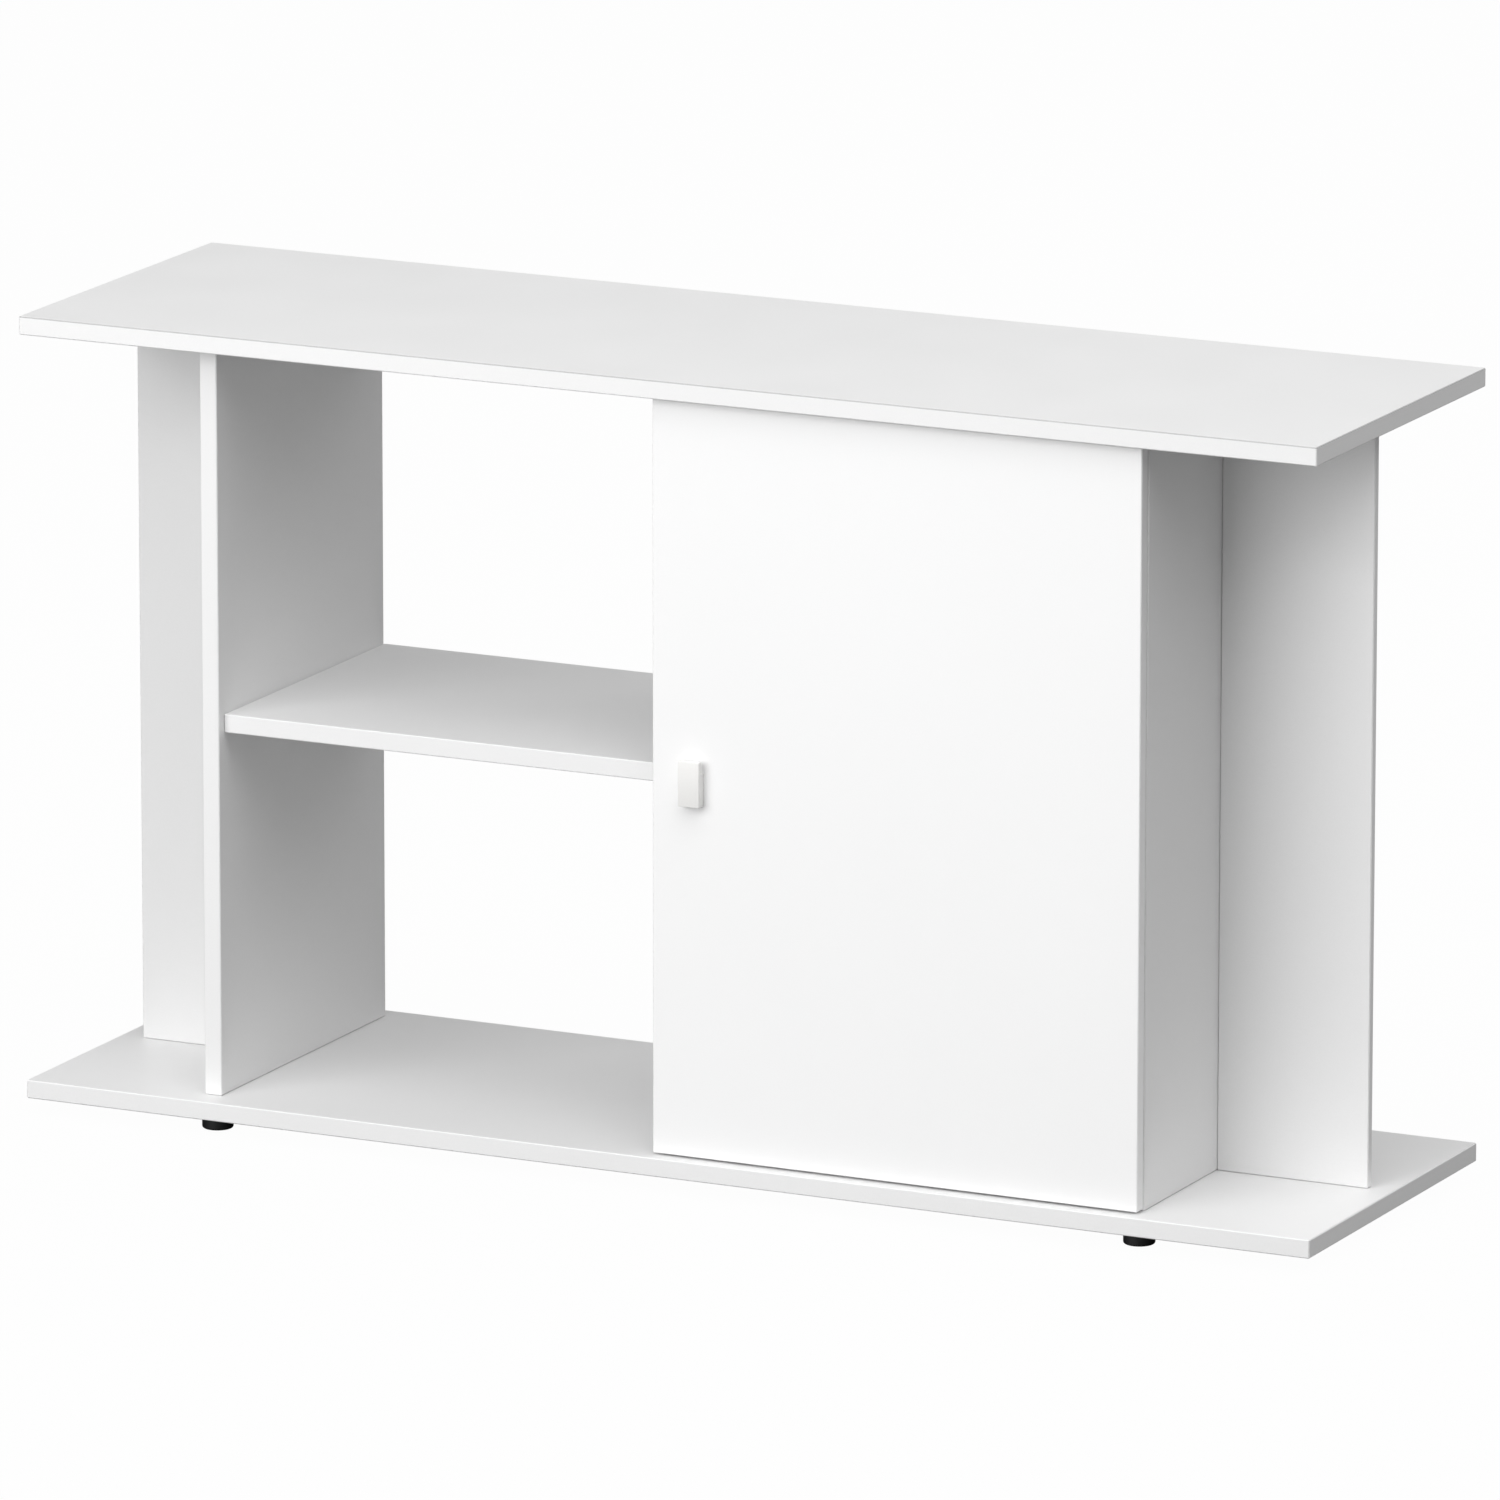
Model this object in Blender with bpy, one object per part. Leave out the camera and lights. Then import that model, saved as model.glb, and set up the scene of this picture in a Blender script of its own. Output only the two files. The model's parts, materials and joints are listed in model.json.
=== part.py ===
"""Aquarium stand cabinet: a board cabinet with an open shelf on the left and a door on the right.

Metres, +Z up, front towards -Y. The origin is on the floor under the middle of the cabinet.
"""

import math

import bmesh
import bpy
from mathutils import Matrix, Vector

# Overall sizes
WIDTH = 1.200
DEPTH = 0.350
HEIGHT = 0.698

# Board thicknesses and the gap left between pieces that touch
BOARD = 0.016
FIN_BOARD = 0.008
BACK_BOARD = 0.008
DOOR_BOARD = 0.012
EDGE_RADIUS = 0.0008
SEAT_GAP = 0.0003
HOLE_CLEARANCE = 0.0002

# Carcass layout
END_OVERHANG = 0.160
FIN_INSET = 0.022
FRONT_SETBACK = 0.024
REAR_SETBACK = 0.019
SHELF_SETBACK = 0.009
OPEN_SHELF_RISE = 0.317
INNER_SHELF_RISE = 0.300
INNER_SHELF_SETBACK = 0.045
INNER_SHELF_PLAY = 0.001
HOSE_GAP = 0.080

# Door and knob
DOOR_GAP = 0.0020
DOOR_SIDE_MARGIN = 0.0005
DOOR_BACK_GAP = 0.0015
KNOB_WIDTH = 0.0195
KNOB_HEIGHT = 0.0390
KNOB_PROJECTION = 0.0100
KNOB_PLATE = 0.0050
KNOB_LIP = 0.0110
KNOB_FROM_EDGE = 0.0380
KNOB_EDGE_RADIUS = 0.0006
BUFFER_RADIUS = 0.0040
BUFFER_FROM_END = 0.060

# Hinges. Points are (x, y) from the corner of the closed door's right edge and back face. The hinge sets
# how far the door laps over the right panel, measured from the panel's inner face
HINGE_OVERLAY = 0.0155
HINGE_FROM_END = 0.100
CUP_RADIUS = 0.0129
CUP_WALL = 0.0009
CUP_FLOOR = 0.0005
CUP_BORE = 0.0100
CUP_TAB = 0.0033
FLANGE_WIDTH = 0.0140
FLANGE_HEIGHT = 0.0480
FLANGE_THICKNESS = 0.0009
RIM_STEP = 0.00005
CUP_SCREW_SPACING = 0.0380
RIM_NOTCH = 0.0150
OUTER_ARM_PIN = (-0.0360, 0.0190)
OUTER_BEND = (-0.0180, -0.0005)
OUTER_CUP_PIN = (-0.0074, -0.0012)
INNER_ARM_PIN = (-0.0225, 0.0024)
INNER_BEND = (-0.0160, -0.0043)
INNER_CUP_PIN = (-0.0082, -0.0025)
LINK_THICKNESS = 0.0016
LINK_START = 0.0004
LINK_HALF_HEIGHT = 0.0045
LINK_EYE_RADIUS = 0.0019
LINK_PIN_RADIUS = 0.0009
LINK_PIN_CLEARANCE = 0.00025
OPEN_PIVOT_PLAY = 0.00015
PIN_START = 0.0002
ARM_PANEL_SIDE = -0.0191
ARM_DEPTH = 0.0079
ARM_SHEET = 0.0015
ARM_HALF_HEIGHT = 0.0064
ARM_CLEARANCE = 0.0004
ARM_NOSE = 0.0020
ARM_BACK = 0.055
WEB_FRONT = 0.024
PLATE_THICKNESS = 0.0030
PLATE_HEIGHT = 0.048
PLATE_WING = 0.016
PLATE_SCREW_SETBACK = 0.037
PLATE_SCREW_SPACING = 0.032
RIB_HEIGHT = 0.0056
ARM_SCREW = (0.0018, 0.0033, 0.0014, 0.0076)

# Feet and their sockets
FOOT_HEIGHT = 0.014
FOOT_RADIUS = 0.0135
FOOT_ROUNDING = 0.0020
FOOT_INSET = 0.032
STUD_RADIUS = 0.0040
STUD_LENGTH = 0.0150
SOCKET_RADIUS = 0.0060

# Fasteners: (shank radius, head radius, head depth, length)
BASE_SCREW = (0.0023, 0.0045, 0.0028, 0.045)
PLATE_SCREW = (0.0016, 0.0032, 0.0018, 0.0135)
CUP_SCREW = (0.0014, 0.0027, 0.0016, 0.0095)
KNOB_SCREW = (0.0019, 0.0036, 0.0022, 0.0180)
SCREW_RECESS = 0.0011
BASE_SCREW_SPACING = 0.150
CAM_RADIUS = 0.0075
CAM_DEPTH = 0.0125
CAM_FROM_TOP = 0.034
CAM_FROM_END = 0.050
PIN_RADIUS = 0.0025
PIN_DEPTH = 0.008
PIN_COLLAR_RADIUS = 0.0036
PIN_COLLAR = 0.0006
PIN_REACH = 0.0085
PIN_FROM_END = 0.045

# Heights and faces worked out from the sizes above
CUP_CENTRE = (-CUP_TAB - CUP_RADIUS, 0.0)
BASE_UNDER = FOOT_HEIGHT
BASE_TOP = BASE_UNDER + BOARD
TOP_UNDER = HEIGHT - BOARD
FRONT = -DEPTH / 2
BACK = DEPTH / 2
PANEL_FRONT = FRONT + FRONT_SETBACK
PANEL_BACK = BACK - REAR_SETBACK
SIDE_OUTER = WIDTH / 2 - END_OVERHANG
SIDE_INNER = SIDE_OUTER - BOARD
PARTITION_FACE = BOARD / 2
DOOR_BACK = PANEL_FRONT - DOOR_BACK_GAP
DOOR_FRONT = DOOR_BACK - DOOR_BOARD
DOOR_LEFT = -PARTITION_FACE + DOOR_SIDE_MARGIN
DOOR_RIGHT = SIDE_INNER + HINGE_OVERLAY
DOOR_BOTTOM = BASE_TOP + DOOR_GAP
DOOR_TOP = TOP_UNDER - DOOR_GAP

ROUND_SEGMENTS = 20
SMALL_SEGMENTS = 12

# Colour (linear), roughness, metallic
FINISHES = {
    "white_board": ((0.85, 0.85, 0.85), 0.45, 0.0),
    "white_knob": ((0.86, 0.86, 0.84), 0.35, 0.0),
    "black_plastic": ((0.02, 0.02, 0.02), 0.5, 0.0),
    "zinc": ((0.62, 0.63, 0.65), 0.3, 1.0),
    "steel": ((0.55, 0.56, 0.58), 0.25, 1.0),
    "clear_rubber": ((0.75, 0.75, 0.72), 0.4, 0.0),
}


# Building tools


def clear_scene():
    for obj in list(bpy.data.objects):
        bpy.data.objects.remove(obj, do_unlink=True)


def finish_material(finish):
    material = bpy.data.materials.get(finish)
    if material:
        return material
    colour, roughness, metallic = FINISHES[finish]
    material = bpy.data.materials.new(finish)
    material.use_nodes = True
    shader = material.node_tree.nodes["Principled BSDF"]
    shader.inputs["Base Color"].default_value = (*colour, 1.0)
    shader.inputs["Roughness"].default_value = roughness
    shader.inputs["Metallic"].default_value = metallic
    material.diffuse_color = (*colour, 1.0)
    return material


def add_object(name, bm, finish, origin=(0, 0, 0)):
    """Makes an object from bm, whose points are in world space, with its origin at the given point."""
    bmesh.ops.recalc_face_normals(bm, faces=bm.faces)
    bmesh.ops.translate(bm, verts=bm.verts, vec=-Vector(origin))
    mesh = bpy.data.meshes.new(name)
    bm.to_mesh(mesh)
    bm.free()
    obj = bpy.data.objects.new(name, mesh)
    obj.location = origin
    obj.data.materials.append(finish_material(finish))
    bpy.context.scene.collection.objects.link(obj)
    return obj


def box_into(bm, low, high):
    centre = (Vector(low) + Vector(high)) / 2
    size = Vector(high) - Vector(low)
    matrix = Matrix.Translation(centre) @ Matrix.Diagonal((*size, 1))
    bmesh.ops.create_cube(bm, size=1, matrix=matrix)


def round_edges(obj, radius, segments=1):
    bevel = obj.modifiers.new("edge_rounding", "BEVEL")
    bevel.width = radius
    bevel.segments = segments
    bevel.limit_method = "ANGLE"
    return obj


def board(name, low, high, origin=None, finish="white_board"):
    bm = bmesh.new()
    box_into(bm, low, high)
    middle = (Vector(low) + Vector(high)) / 2
    return round_edges(add_object(name, bm, finish, origin or middle), EDGE_RADIUS)


def aim(start, direction):
    """The matrix that puts a shape built along +Z at start, pointing along direction."""
    turn = Vector((0, 0, 1)).rotation_difference(Vector(direction)).to_matrix().to_4x4()
    return Matrix.Translation(start) @ turn


def lathe_into(bm, profile, matrix, segments):
    """Turns (radius, height) points about Z. A profile that ends off the axis is closed into a ring."""
    on_axis = profile[0][0] == 0
    rings = []
    for radius, height in profile:
        if radius == 0:
            rings.append([bm.verts.new(matrix @ Vector((0, 0, height)))])
            continue
        angles = [2 * math.pi * i / segments for i in range(segments)]
        ring = [Vector((radius * math.cos(a), radius * math.sin(a), height)) for a in angles]
        rings.append([bm.verts.new(matrix @ point) for point in ring])
    pairs = list(zip(rings, rings[1:]))
    if not on_axis:
        pairs.append((rings[-1], rings[0]))
    for first, second in pairs:
        for i in range(segments):
            j = (i + 1) % segments
            corners = [first[i % len(first)], first[j % len(first)]]
            corners += [second[j % len(second)], second[i % len(second)]]
            bm.faces.new(list(dict.fromkeys(corners)))


def turned(name, profile, start, direction, finish, segments=ROUND_SEGMENTS, origin=None):
    bm = bmesh.new()
    lathe_into(bm, profile, aim(start, direction), segments)
    obj = add_object(name, bm, finish, origin or start)
    obj.data.shade_smooth()
    obj.data.set_sharp_from_angle(angle=math.radians(35))
    return obj


def prism_into(bm, outline, low, high, place):
    """Extrudes an outline of (a, b) points from low to high; place(a, b, c) gives the world point."""
    bottom = [bm.verts.new(place(a, b, low)) for a, b in outline]
    top = [bm.verts.new(place(a, b, high)) for a, b in outline]
    bm.faces.new(bottom[::-1])
    bm.faces.new(top)
    for i in range(len(outline)):
        j = (i + 1) % len(outline)
        bm.faces.new([bottom[i], bottom[j], top[j], top[i]])


def helper(name, bm):
    """A Boolean operand: out of the render, drawn as wire."""
    obj = add_object(name, bm, "steel")
    obj.hide_render = True
    obj.display_type = "WIRE"
    return obj


def combine(target, bm, operation, label):
    tool = helper(f"{target.name}_{label}", bm)
    modifier = target.modifiers.new(label, "BOOLEAN")
    modifier.operation = operation
    modifier.object = tool
    modifier.solver = "EXACT"
    tool.parent = target
    tool.location -= target.location


def drill(target, holes):
    """Cuts each hole, given as (profile, start, direction, segments), out of the target."""
    bm = bmesh.new()
    for profile, start, direction, segments in holes:
        lathe_into(bm, profile, aim(start, direction), segments)
    combine(target, bm, "DIFFERENCE", "holes")


def round_hole(start, direction, radius, depth, segments=SMALL_SEGMENTS):
    """A plain hole that starts a little outside the face, so that the cut is clean."""
    lead = 0.001
    profile = [(0, -lead), (radius, -lead), (radius, depth), (0, depth)]
    return profile, start, direction, segments


def screw_profile(screw, clearance=0.0):
    shank, head, head_depth, length = screw
    shank += clearance
    head += clearance
    tip = length + clearance
    mouth = -0.001 if clearance else 0.0
    outline = [(0, mouth), (head, mouth), (head, 0.0003 + clearance), (shank, head_depth + clearance)]
    outline += [(shank, tip - 1.5 * shank), (0, tip)]
    if not clearance:
        recess = head * 0.4
        outline = [(0, SCREW_RECESS * 0.8), (recess * 0.6, SCREW_RECESS), (recess, 0), *outline[1:]]
    return outline


def screw_hole(screw, head, direction):
    return screw_profile(screw, HOLE_CLEARANCE), head, direction, SMALL_SEGMENTS


def add_screw(name, screw, head, direction, finish="zinc"):
    return turned(name, screw_profile(screw), head, direction, finish, SMALL_SEGMENTS)


# Places of the fasteners and small pieces, shared by a piece and the holes cut for it

UPRIGHTS = {
    "left": (-SIDE_OUTER, -SIDE_INNER),
    "middle": (-PARTITION_FACE, PARTITION_FACE),
    "right": (SIDE_INNER, SIDE_OUTER),
}


def base_screw_places():
    """(upright, head point) of the screws that come up through the base into each upright."""
    for upright, (low, high) in UPRIGHTS.items():
        for side in (-1, 1):
            y = (PANEL_FRONT + PANEL_BACK) / 2 + side * BASE_SCREW_SPACING / 2
            yield upright, Vector(((low + high) / 2, y, BASE_UNDER))


def cam_places():
    """(upright, face point, direction into the board) of the cam locks under the top."""
    faces = {"left": (-SIDE_OUTER, 1), "middle": (PARTITION_FACE, -1), "right": (SIDE_INNER, 1)}
    for upright, (x, into) in faces.items():
        for y in (PANEL_FRONT + CAM_FROM_END, PANEL_BACK - CAM_FROM_END):
            yield upright, Vector((x, y, TOP_UNDER - CAM_FROM_TOP)), Vector((into, 0, 0))


def pin_places():
    """(upright, face point, direction into the board) of the pins under the inner shelf."""
    z = BASE_TOP + INNER_SHELF_RISE - PIN_RADIUS - SEAT_GAP
    shelf_front = PANEL_FRONT + INNER_SHELF_SETBACK
    for upright, x, into in (("middle", PARTITION_FACE, -1), ("right", SIDE_INNER, 1)):
        for y in (shelf_front + PIN_FROM_END, PANEL_BACK - BACK_BOARD - PIN_FROM_END):
            yield upright, Vector((x, y, z)), Vector((into, 0, 0))


def foot_places():
    x = (SIDE_OUTER + SIDE_INNER) / 2
    for sign_x in (-1, 1):
        for sign_y in (-1, 1):
            yield Vector((sign_x * x, sign_y * (DEPTH / 2 - FOOT_INSET), 0))


def knob_screw_head():
    return Vector((DOOR_LEFT + KNOB_FROM_EDGE, DOOR_BACK, knob_stem_middle()))


def knob_bottom():
    return (DOOR_BOTTOM + DOOR_TOP) / 2 - KNOB_HEIGHT / 2


def knob_stem_middle():
    return knob_bottom() + (KNOB_HEIGHT - KNOB_LIP) / 2


# Carcass


def upright_holes(name):
    """Every hole in one upright: base screws, cam locks, shelf pins and hinge plate screws."""
    holes = []
    for upright, head in base_screw_places():
        if upright == name:
            holes.append(screw_hole(BASE_SCREW, head, (0, 0, 1)))
    for upright, face, into in cam_places():
        if upright == name:
            radius = CAM_RADIUS + HOLE_CLEARANCE
            holes.append(round_hole(face - into * 0.001, into, radius, CAM_DEPTH + 0.0013, ROUND_SEGMENTS))
    for upright, face, into in pin_places():
        if upright == name:
            radius = PIN_RADIUS + HOLE_CLEARANCE
            holes.append(round_hole(face, into, radius, PIN_DEPTH + SEAT_GAP))
    if name == "right":
        for head in plate_screw_heads():
            holes.append(screw_hole(PLATE_SCREW, head, (1, 0, 0)))
    return holes


def add_uprights():
    names = {"left": "left_side_panel", "middle": "middle_partition", "right": "right_side_panel"}
    for key, (low, high) in UPRIGHTS.items():
        corner_low = (low, PANEL_FRONT, BASE_TOP + SEAT_GAP)
        corner_high = (high, PANEL_BACK, TOP_UNDER - SEAT_GAP)
        drill(board(names[key], corner_low, corner_high), upright_holes(key))


def add_top_and_base():
    board("top_board", (-WIDTH / 2, FRONT, TOP_UNDER), (WIDTH / 2, BACK, HEIGHT))
    base = board("base_board", (-WIDTH / 2, FRONT, BASE_UNDER), (WIDTH / 2, BACK, BASE_TOP))
    holes = [screw_hole(BASE_SCREW, head, (0, 0, 1)) for _, head in base_screw_places()]
    for place in foot_places():
        under = place + Vector((0, 0, BASE_UNDER))
        depth = BOARD - 0.0008
        holes.append(round_hole(under, (0, 0, 1), SOCKET_RADIUS + HOLE_CLEARANCE, depth, ROUND_SEGMENTS))
    drill(base, holes)


def add_fins():
    inner = SIDE_OUTER + SEAT_GAP
    outer = WIDTH / 2 - FIN_INSET
    low_z = BASE_TOP + SEAT_GAP
    high_z = TOP_UNDER - SEAT_GAP
    half = FIN_BOARD / 2
    board("left_fin", (-outer, -half, low_z), (-inner, half, high_z))
    board("right_fin", (inner, -half, low_z), (outer, half, high_z))


def add_shelves():
    low_z = BASE_TOP + OPEN_SHELF_RISE
    low = (-SIDE_INNER + SEAT_GAP, PANEL_FRONT + SHELF_SETBACK, low_z)
    high = (-PARTITION_FACE - SEAT_GAP, PANEL_BACK, low_z + BOARD)
    board("open_shelf", low, high)
    low_z = BASE_TOP + INNER_SHELF_RISE
    low = (PARTITION_FACE + INNER_SHELF_PLAY, PANEL_FRONT + INNER_SHELF_SETBACK, low_z)
    back = PANEL_BACK - BACK_BOARD - 2 * SEAT_GAP
    board("inner_shelf", low, (SIDE_INNER - INNER_SHELF_PLAY, back, low_z + BOARD))


def add_back():
    """The back board stops short of the top, which leaves the way out for hoses and cables."""
    low = (PARTITION_FACE + SEAT_GAP, PANEL_BACK - BACK_BOARD, BASE_TOP + SEAT_GAP)
    high = (SIDE_INNER - SEAT_GAP, PANEL_BACK, TOP_UNDER - HOSE_GAP)
    board("back_board", low, high)


def add_shelf_pins():
    """Each pin has a stem in the board, a thin collar on its face and a peg that the shelf rests on."""
    profile = [
        (0, -PIN_REACH),
        (PIN_RADIUS, -PIN_REACH),
        (PIN_RADIUS, -PIN_COLLAR - SEAT_GAP),
        (PIN_COLLAR_RADIUS, -PIN_COLLAR - SEAT_GAP),
        (PIN_COLLAR_RADIUS, -SEAT_GAP),
        (PIN_RADIUS, -SEAT_GAP),
        (PIN_RADIUS, PIN_DEPTH),
        (0, PIN_DEPTH),
    ]
    for number, (_, face, into) in enumerate(pin_places(), 1):
        turned(f"shelf_pin_{number}", profile, face, into, "steel", SMALL_SEGMENTS)


def add_cam_locks():
    recess = CAM_RADIUS * 0.35
    profile = [
        (0, 0.0015),
        (recess, 0.0012),
        (recess, 0.0),
        (CAM_RADIUS, 0.0),
        (CAM_RADIUS, CAM_DEPTH),
        (0, CAM_DEPTH),
    ]
    for number, (_, face, into) in enumerate(cam_places(), 1):
        turned(f"cam_lock_{number}", profile, face, into, "zinc")


def add_base_screws():
    for number, (_, head) in enumerate(base_screw_places(), 1):
        add_screw(f"base_screw_{number}", BASE_SCREW, head, (0, 0, 1))


# Feet


def add_feet():
    """A moulded pad with its stud, which screws up into a socket in the base. Each pad starts fully in."""
    pad_top = FOOT_HEIGHT - SEAT_GAP
    stud_top = FOOT_HEIGHT + STUD_LENGTH - SEAT_GAP * 4
    foot = [
        (0, 0),
        (FOOT_RADIUS - FOOT_ROUNDING, 0),
        (FOOT_RADIUS - FOOT_ROUNDING * 0.3, FOOT_ROUNDING * 0.3),
        (FOOT_RADIUS, FOOT_ROUNDING),
        (FOOT_RADIUS, pad_top),
        (STUD_RADIUS, pad_top),
        (STUD_RADIUS, stud_top),
        (0, stud_top),
    ]
    bore = STUD_RADIUS + HOLE_CLEARANCE
    socket_top = BASE_TOP - 0.0010
    socket = [(bore, BASE_UNDER), (SOCKET_RADIUS, BASE_UNDER), (SOCKET_RADIUS, socket_top), (bore, socket_top)]
    for number, place in enumerate(foot_places(), 1):
        turned(f"foot_{number}", foot, place, (0, 0, 1), "black_plastic", 24)
        turned(f"foot_socket_{number}", socket, place, (0, 0, 1), "zinc", ROUND_SEGMENTS)


# Door, knob and buffers


def add_door():
    low = (DOOR_LEFT, DOOR_FRONT, DOOR_BOTTOM)
    high = (DOOR_RIGHT, DOOR_BACK, DOOR_TOP)
    door = board("door", low, high, origin=(door_pivot().x, door_pivot().y, 0))
    holes = [screw_hole(KNOB_SCREW, knob_screw_head(), (0, -1, 0))]
    for height in hinge_heights():
        cup = hinge_point(CUP_CENTRE, height)
        holes.append(round_hole(cup, (0, -1, 0), CUP_RADIUS + HOLE_CLEARANCE, CUP_BORE, 32))
    for head in cup_screw_heads():
        holes.append(screw_hole(CUP_SCREW, head, (0, -1, 0)))
    drill(door, holes)


def add_knob():
    """A tall thin grip plate on a shorter stem, so that fingers hook behind its upper edge."""
    front = DOOR_FRONT - KNOB_PROJECTION
    plate_back = front + KNOB_PLATE
    back = DOOR_FRONT - SEAT_GAP
    bottom = knob_bottom()
    top = bottom + KNOB_HEIGHT
    stem_top = top - KNOB_LIP
    outline = [(front, bottom), (back, bottom), (back, stem_top), (plate_back, stem_top)]
    outline += [(plate_back, top), (front, top)]
    middle = DOOR_LEFT + KNOB_FROM_EDGE
    bm = bmesh.new()
    low, high = middle - KNOB_WIDTH / 2, middle + KNOB_WIDTH / 2
    prism_into(bm, outline, low, high, lambda y, z, x: Vector((x, y, z)))
    knob = add_object("door_knob", bm, "white_knob", (middle, back, (bottom + top) / 2))
    round_edges(knob, KNOB_EDGE_RADIUS, 2)
    drill(knob, [screw_hole(KNOB_SCREW, knob_screw_head(), (0, -1, 0))])
    add_screw("knob_screw", KNOB_SCREW, knob_screw_head(), (0, -1, 0))


def add_buffers():
    thickness = DOOR_BACK_GAP - 2 * SEAT_GAP
    profile = [
        (0, SEAT_GAP),
        (BUFFER_RADIUS, SEAT_GAP),
        (BUFFER_RADIUS * 0.8, SEAT_GAP + thickness * 0.8),
        (BUFFER_RADIUS * 0.4, SEAT_GAP + thickness),
        (0, SEAT_GAP + thickness),
    ]
    for name, z in (("upper", DOOR_TOP - BUFFER_FROM_END), ("lower", DOOR_BOTTOM + BUFFER_FROM_END)):
        place = (0.0005, DOOR_BACK, z)
        turned(f"{name}_door_buffer", profile, place, (0, 1, 0), "clear_rubber", SMALL_SEGMENTS)


# Concealed hinges. Points are (x, y) from the corner of the closed door's right edge and back face:
# x is negative towards the door's middle, and y is negative into the door.


def hinge_heights():
    return {"lower": DOOR_BOTTOM + HINGE_FROM_END, "upper": DOOR_TOP - HINGE_FROM_END}.values()


def hinge_point(point, height):
    x, y = point
    return Vector((DOOR_RIGHT + x, DOOR_BACK + y, height))


def door_pivot():
    """The door turns about the outer link's pin in the cup."""
    return hinge_point(OUTER_CUP_PIN, 0)


def plate_screw_heads():
    """Head points of the screws that hold each hinge plate to the right side panel."""
    for height in hinge_heights():
        for side in (-1, 1):
            x = SIDE_INNER - SEAT_GAP - PLATE_THICKNESS
            yield Vector((x, PANEL_FRONT + PLATE_SCREW_SETBACK, height + side * PLATE_SCREW_SPACING / 2))


def cup_screw_heads():
    for height in hinge_heights():
        for side in (-1, 1):
            head = hinge_point((CUP_CENTRE[0], SEAT_GAP + FLANGE_THICKNESS), height)
            yield head + Vector((0, 0, side * CUP_SCREW_SPACING / 2))


def add_cup(name, height):
    """The cup: a round bowl let into the door, its flange, and one stub pin in each half."""
    centre = hinge_point(CUP_CENTRE, height)
    floor = CUP_BORE - SEAT_GAP
    face = -(SEAT_GAP + FLANGE_THICKNESS)
    rim = face + RIM_STEP
    bowl = [(0, rim), (CUP_RADIUS, rim), (CUP_RADIUS, floor), (0, floor)]
    cup = turned(name, bowl, centre, (0, -1, 0), "zinc", 32, origin=hinge_point(OUTER_CUP_PIN, height))
    flange = bmesh.new()
    half_x, half_z = FLANGE_WIDTH / 2, FLANGE_HEIGHT / 2
    low = (centre.x - half_x, DOOR_BACK + SEAT_GAP, height - half_z)
    box_into(flange, low, (centre.x + half_x, DOOR_BACK - face, height + half_z))
    combine(cup, flange, "UNION", "flange")
    inside = CUP_RADIUS - CUP_WALL
    bottom = floor - CUP_FLOOR
    hollow = [(0, face - 0.001), (inside, face - 0.001), (inside, bottom), (0, bottom)]
    bm = bmesh.new()
    lathe_into(bm, hollow, aim(centre, (0, -1, 0)), 32)
    combine(cup, bm, "DIFFERENCE", "hollow")
    notch = bmesh.new()
    hinge_box_into(notch, (CUP_CENTRE[0] - 0.02, 0, -RIM_NOTCH / 2), (0.02, 0.01, RIM_NOTCH / 2), height)
    combine(cup, notch, "DIFFERENCE", "notch")
    pins = bmesh.new()
    for point, side in ((OUTER_CUP_PIN, 1), (INNER_CUP_PIN, -1)):
        offset = abs(point[0] - CUP_CENTRE[0]) + LINK_PIN_RADIUS
        wall = math.sqrt((CUP_RADIUS - CUP_WALL / 2) ** 2 - offset**2)
        stub_pin_into(pins, hinge_point(point, height), side, wall)
    combine(cup, pins, "UNION", "pins")
    drill(cup, [screw_hole(CUP_SCREW, head, (0, -1, 0)) for head in cup_screw_heads()])


def stub_pin_into(bm, middle, side, reach):
    """A pin that holds the eye of one link, from just past the hinge's middle plane out to reach."""
    profile = [(0, PIN_START), (LINK_PIN_RADIUS, PIN_START), (LINK_PIN_RADIUS, reach), (0, reach)]
    lathe_into(bm, profile, aim(middle, (0, 0, side)), SMALL_SEGMENTS)


def unit(a, b):
    span = Vector(b) - Vector(a)
    return span.normalized()


def strip_outline(points, half):
    """The outline of a strip of the given half width that follows a bent line of three points."""
    first, bend, last = (Vector(point) for point in points)
    ahead, onward = unit(first, bend), unit(bend, last)
    left_in, left_out = Vector((-ahead.y, ahead.x)), Vector((-onward.y, onward.x))
    mitre = (left_in + left_out).normalized()
    reach = half / mitre.dot(left_in)
    left = [first + left_in * half, bend + mitre * reach, last + left_out * half]
    right = [first - left_in * half, bend - mitre * reach, last - left_out * half]
    return [tuple(point) for point in left + right[::-1]]


def add_link(name, height, arm_pin, bend, cup_pin, side, cup_play=0.0):
    """A bent plate with an eye at each end. side is 1 for the link above the hinge's middle, -1 below."""
    origin = hinge_point(arm_pin, height)
    low, high = sorted((side * LINK_START, side * LINK_HALF_HEIGHT))
    bm = bmesh.new()
    outline = strip_outline((arm_pin, bend, cup_pin), LINK_THICKNESS / 2)
    prism_into(bm, outline, low, high, lambda x, y, z: hinge_point((x, y), height + z))
    link = add_object(name, bm, "steel", origin)
    eyes = bmesh.new()
    bores = bmesh.new()
    for point, play in ((arm_pin, 0.0), (cup_pin, cup_play)):
        bore = LINK_PIN_RADIUS + LINK_PIN_CLEARANCE + play
        up = aim(hinge_point(point, height), (0, 0, 1))
        eye = [(0, low), (LINK_EYE_RADIUS, low), (LINK_EYE_RADIUS, high), (0, high)]
        through = [(0, low - 0.001), (bore, low - 0.001), (bore, high + 0.001), (0, high + 0.001)]
        lathe_into(eyes, eye, up, ROUND_SEGMENTS)
        lathe_into(bores, through, up, SMALL_SEGMENTS)
    combine(link, eyes, "UNION", "eyes")
    combine(link, bores, "DIFFERENCE", "bores")


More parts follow.
